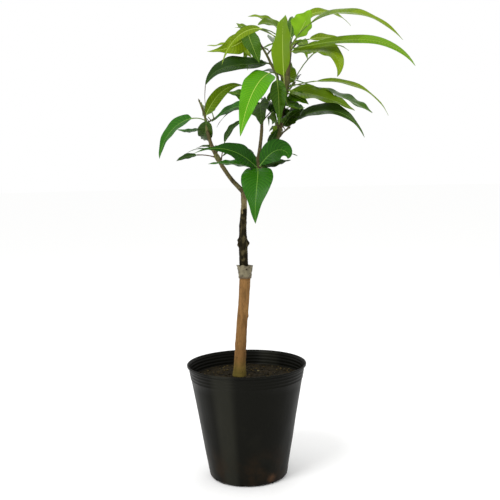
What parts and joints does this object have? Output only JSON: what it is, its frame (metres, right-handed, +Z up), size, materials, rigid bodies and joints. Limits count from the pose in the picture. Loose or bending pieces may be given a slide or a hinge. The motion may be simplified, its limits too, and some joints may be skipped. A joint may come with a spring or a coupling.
{
  "type": "mango tree sapling in nursery pot",
  "caption": "Grafted mango sapling with a slender forked stem and drooping whorls of long lance-shaped leaves, standing in a black tapered nursery pot.",
  "frame": {"origin": "centre of the pot's flat underside, on the ground it stands on", "axes": "+Z up along the stem, +X to the plant's right seen from the front, -Y its front"},
  "size_m": [0.4763, 0.3711, 0.9313],
  "materials": {
    "pot_plastic": "black, faintly glossy soft polythene",
    "soil": "dark moist crumbly potting soil",
    "rootstock_bark": "tan bark with fine cracks, olive near the soil",
    "scion_bark": "dark brown bark with grey patches",
    "bough_bark": "grey-green to brown young bark",
    "graft_tape": "dull weathered grafting tape",
    "foliage": "leathery leaves, dark green to bright yellow-green, with a soft gloss"
  },
  "bodies": {
    "root": {"nursery_pot": "pot_plastic", "potting_soil": "soil", "rootstock_trunk": "rootstock_bark", "graft_wrap": "graft_tape", "scion_stem": "scion_bark", "bough_right": "bough_bark", "bough_left": "bough_bark", "bough_middle": "bough_bark", "bough_upper": "bough_bark", "foliage_left_tip": "foliage", "foliage_left_low": "foliage", "foliage_front": "foliage", "foliage_middle": "foliage", "foliage_right_low": "foliage", "foliage_right": "foliage", "foliage_upper_left": "foliage", "foliage_top": "foliage"}
  },
  "joints": []
}
